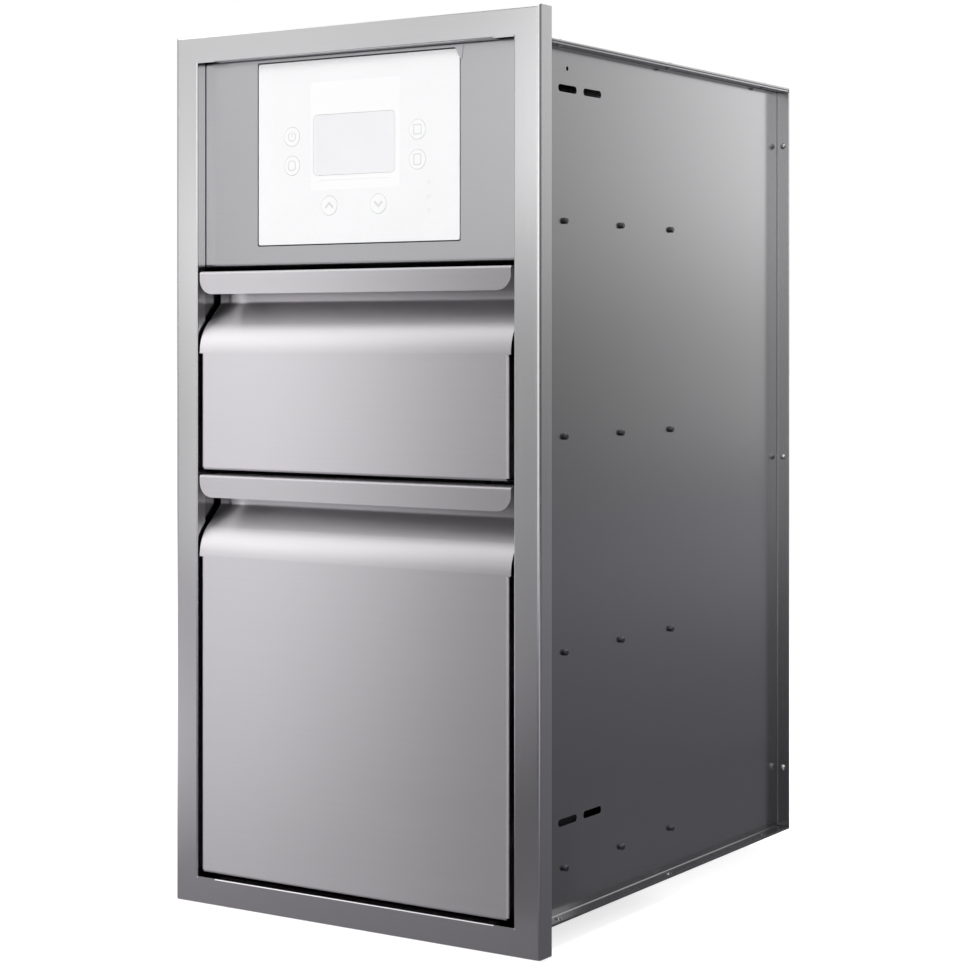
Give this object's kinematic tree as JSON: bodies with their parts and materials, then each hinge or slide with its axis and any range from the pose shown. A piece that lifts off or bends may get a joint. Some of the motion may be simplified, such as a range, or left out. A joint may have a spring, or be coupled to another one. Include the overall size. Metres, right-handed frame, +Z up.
{
  "type": "outdoor kitchen drawer unit",
  "caption": "Built-in stainless drawer unit for an outdoor kitchen: a frame around a control panel over a shallow and a deep drawer with recessed grips, on telescopic ball-bearing slides.",
  "frame": {"origin": "centre of the bounding box's bottom, on the level of the face frame's bottom edge", "axes": "+X to the right as seen from the front, +Y from the front to the back, +Z up"},
  "size_m": [0.43, 0.55, 0.87],
  "materials": {
    "stainless_steel": "fine horizontal brushing",
    "zinc_plated_steel": "bright zinc plating",
    "steel_fasteners": "plain bright steel",
    "black_rubber": "matt",
    "white_panel": "smooth white",
    "button_caps": "smooth white with pale grey symbols",
    "display_window": "smooth, pale and unlit",
    "display_module": "matt",
    "housing_plastic": "fine grain",
    "circuit_board": "green laminate",
    "terminal_plastic": "matt",
    "switch_plastic": "matt",
    "light_pipes": "frosted"
  },
  "bodies": {
    "cabinet": {"face_frame": "stainless_steel", "side_panel_right": "stainless_steel", "side_panel_left": "stainless_steel", "top_panel": "stainless_steel", "bottom_panel": "stainless_steel", "back_panel": "stainless_steel", "cable_grommet": "black_rubber", "control_fascia": "stainless_steel", "control_shelf": "stainless_steel", "control_plate": "white_panel", "display_lens": "display_window", "display_module": "display_module", "control_gasket": "black_rubber", "control_housing": "housing_plastic", "circuit_board": "circuit_board", "terminal_block": "terminal_plastic", "button_switches": "switch_plastic", "indicator_lights": "light_pipes", "board_screws": "steel_fasteners", "fascia_nuts": "steel_fasteners", "side_screws": "steel_fasteners", "flange_rivets": "steel_fasteners", "small_slide_outer_right": "zinc_plated_steel", "small_slide_outer_left": "zinc_plated_steel", "large_upper_slide_outer_right": "zinc_plated_steel", "large_upper_slide_outer_left": "zinc_plated_steel", "large_lower_slide_outer_right": "zinc_plated_steel", "large_lower_slide_outer_left": "zinc_plated_steel"},
    "small_drawer": {"small_drawer_front": "stainless_steel", "small_drawer_liner": "stainless_steel", "small_drawer_tray": "stainless_steel", "small_drawer_back": "stainless_steel", "small_drawer_screws": "steel_fasteners", "small_slide_inner_right": "zinc_plated_steel", "small_slide_inner_left": "zinc_plated_steel"},
    "small_middle_members": {"small_slide_middle_right": "zinc_plated_steel", "small_slide_middle_left": "zinc_plated_steel"},
    "small_outer_cages": {"small_outer_cages": "zinc_plated_steel"},
    "small_inner_cages": {"small_inner_cages": "zinc_plated_steel"},
    "large_drawer": {"large_drawer_front": "stainless_steel", "large_drawer_liner": "stainless_steel", "large_drawer_tray": "stainless_steel", "large_drawer_back": "stainless_steel", "large_drawer_screws": "steel_fasteners", "large_upper_slide_inner_right": "zinc_plated_steel", "large_upper_slide_inner_left": "zinc_plated_steel", "large_lower_slide_inner_right": "zinc_plated_steel", "large_lower_slide_inner_left": "zinc_plated_steel"},
    "large_middle_members": {"large_upper_slide_middle_right": "zinc_plated_steel", "large_upper_slide_middle_left": "zinc_plated_steel", "large_lower_slide_middle_right": "zinc_plated_steel", "large_lower_slide_middle_left": "zinc_plated_steel"},
    "large_outer_cages": {"large_outer_cages": "zinc_plated_steel"},
    "large_inner_cages": {"large_inner_cages": "zinc_plated_steel"},
    "power_button": {"power_button": "button_caps"},
    "left_button": {"left_button": "button_caps"},
    "upper_right_button": {"upper_right_button": "button_caps"},
    "lower_right_button": {"lower_right_button": "button_caps"},
    "up_button": {"up_button": "button_caps"},
    "down_button": {"down_button": "button_caps"}
  },
  "joints": [
    {"name": "small_drawer_slide", "type": "slide", "parent": "cabinet", "child": "small_drawer", "axis": [0, -1, 0], "range_m": [0, 0.45]},
    {"name": "small_middle_members_slide", "type": "slide", "parent": "cabinet", "child": "small_middle_members", "axis": [0, -1, 0], "range_m": [0, 0.225]},
    {"name": "small_outer_cages_slide", "type": "slide", "parent": "cabinet", "child": "small_outer_cages", "axis": [0, -1, 0], "range_m": [0, 0.1125]},
    {"name": "small_inner_cages_slide", "type": "slide", "parent": "cabinet", "child": "small_inner_cages", "axis": [0, -1, 0], "range_m": [0, 0.3375]},
    {"name": "large_drawer_slide", "type": "slide", "parent": "cabinet", "child": "large_drawer", "axis": [0, -1, 0], "range_m": [0, 0.45]},
    {"name": "large_middle_members_slide", "type": "slide", "parent": "cabinet", "child": "large_middle_members", "axis": [0, -1, 0], "range_m": [0, 0.225]},
    {"name": "large_outer_cages_slide", "type": "slide", "parent": "cabinet", "child": "large_outer_cages", "axis": [0, -1, 0], "range_m": [0, 0.1125]},
    {"name": "large_inner_cages_slide", "type": "slide", "parent": "cabinet", "child": "large_inner_cages", "axis": [0, -1, 0], "range_m": [0, 0.3375]},
    {"name": "power_button_press", "type": "slide", "parent": "cabinet", "child": "power_button", "axis": [0, 1, 0], "range_m": [0, 0.0008], "stiffness_N_per_m": 1500},
    {"name": "left_button_press", "type": "slide", "parent": "cabinet", "child": "left_button", "axis": [0, 1, 0], "range_m": [0, 0.0008], "stiffness_N_per_m": 1500},
    {"name": "upper_right_button_press", "type": "slide", "parent": "cabinet", "child": "upper_right_button", "axis": [0, 1, 0], "range_m": [0, 0.0008], "stiffness_N_per_m": 1500},
    {"name": "lower_right_button_press", "type": "slide", "parent": "cabinet", "child": "lower_right_button", "axis": [0, 1, 0], "range_m": [0, 0.0008], "stiffness_N_per_m": 1500},
    {"name": "up_button_press", "type": "slide", "parent": "cabinet", "child": "up_button", "axis": [0, 1, 0], "range_m": [0, 0.0008], "stiffness_N_per_m": 1500},
    {"name": "down_button_press", "type": "slide", "parent": "cabinet", "child": "down_button", "axis": [0, 1, 0], "range_m": [0, 0.0008], "stiffness_N_per_m": 1500}
  ],
  "couplings": [
    {"joint": "small_middle_members_slide", "follows": "small_drawer_slide", "ratio": 0.5},
    {"joint": "small_outer_cages_slide", "follows": "small_drawer_slide", "ratio": 0.25},
    {"joint": "small_inner_cages_slide", "follows": "small_drawer_slide", "ratio": 0.75},
    {"joint": "large_middle_members_slide", "follows": "large_drawer_slide", "ratio": 0.5},
    {"joint": "large_outer_cages_slide", "follows": "large_drawer_slide", "ratio": 0.25},
    {"joint": "large_inner_cages_slide", "follows": "large_drawer_slide", "ratio": 0.75}
  ]
}
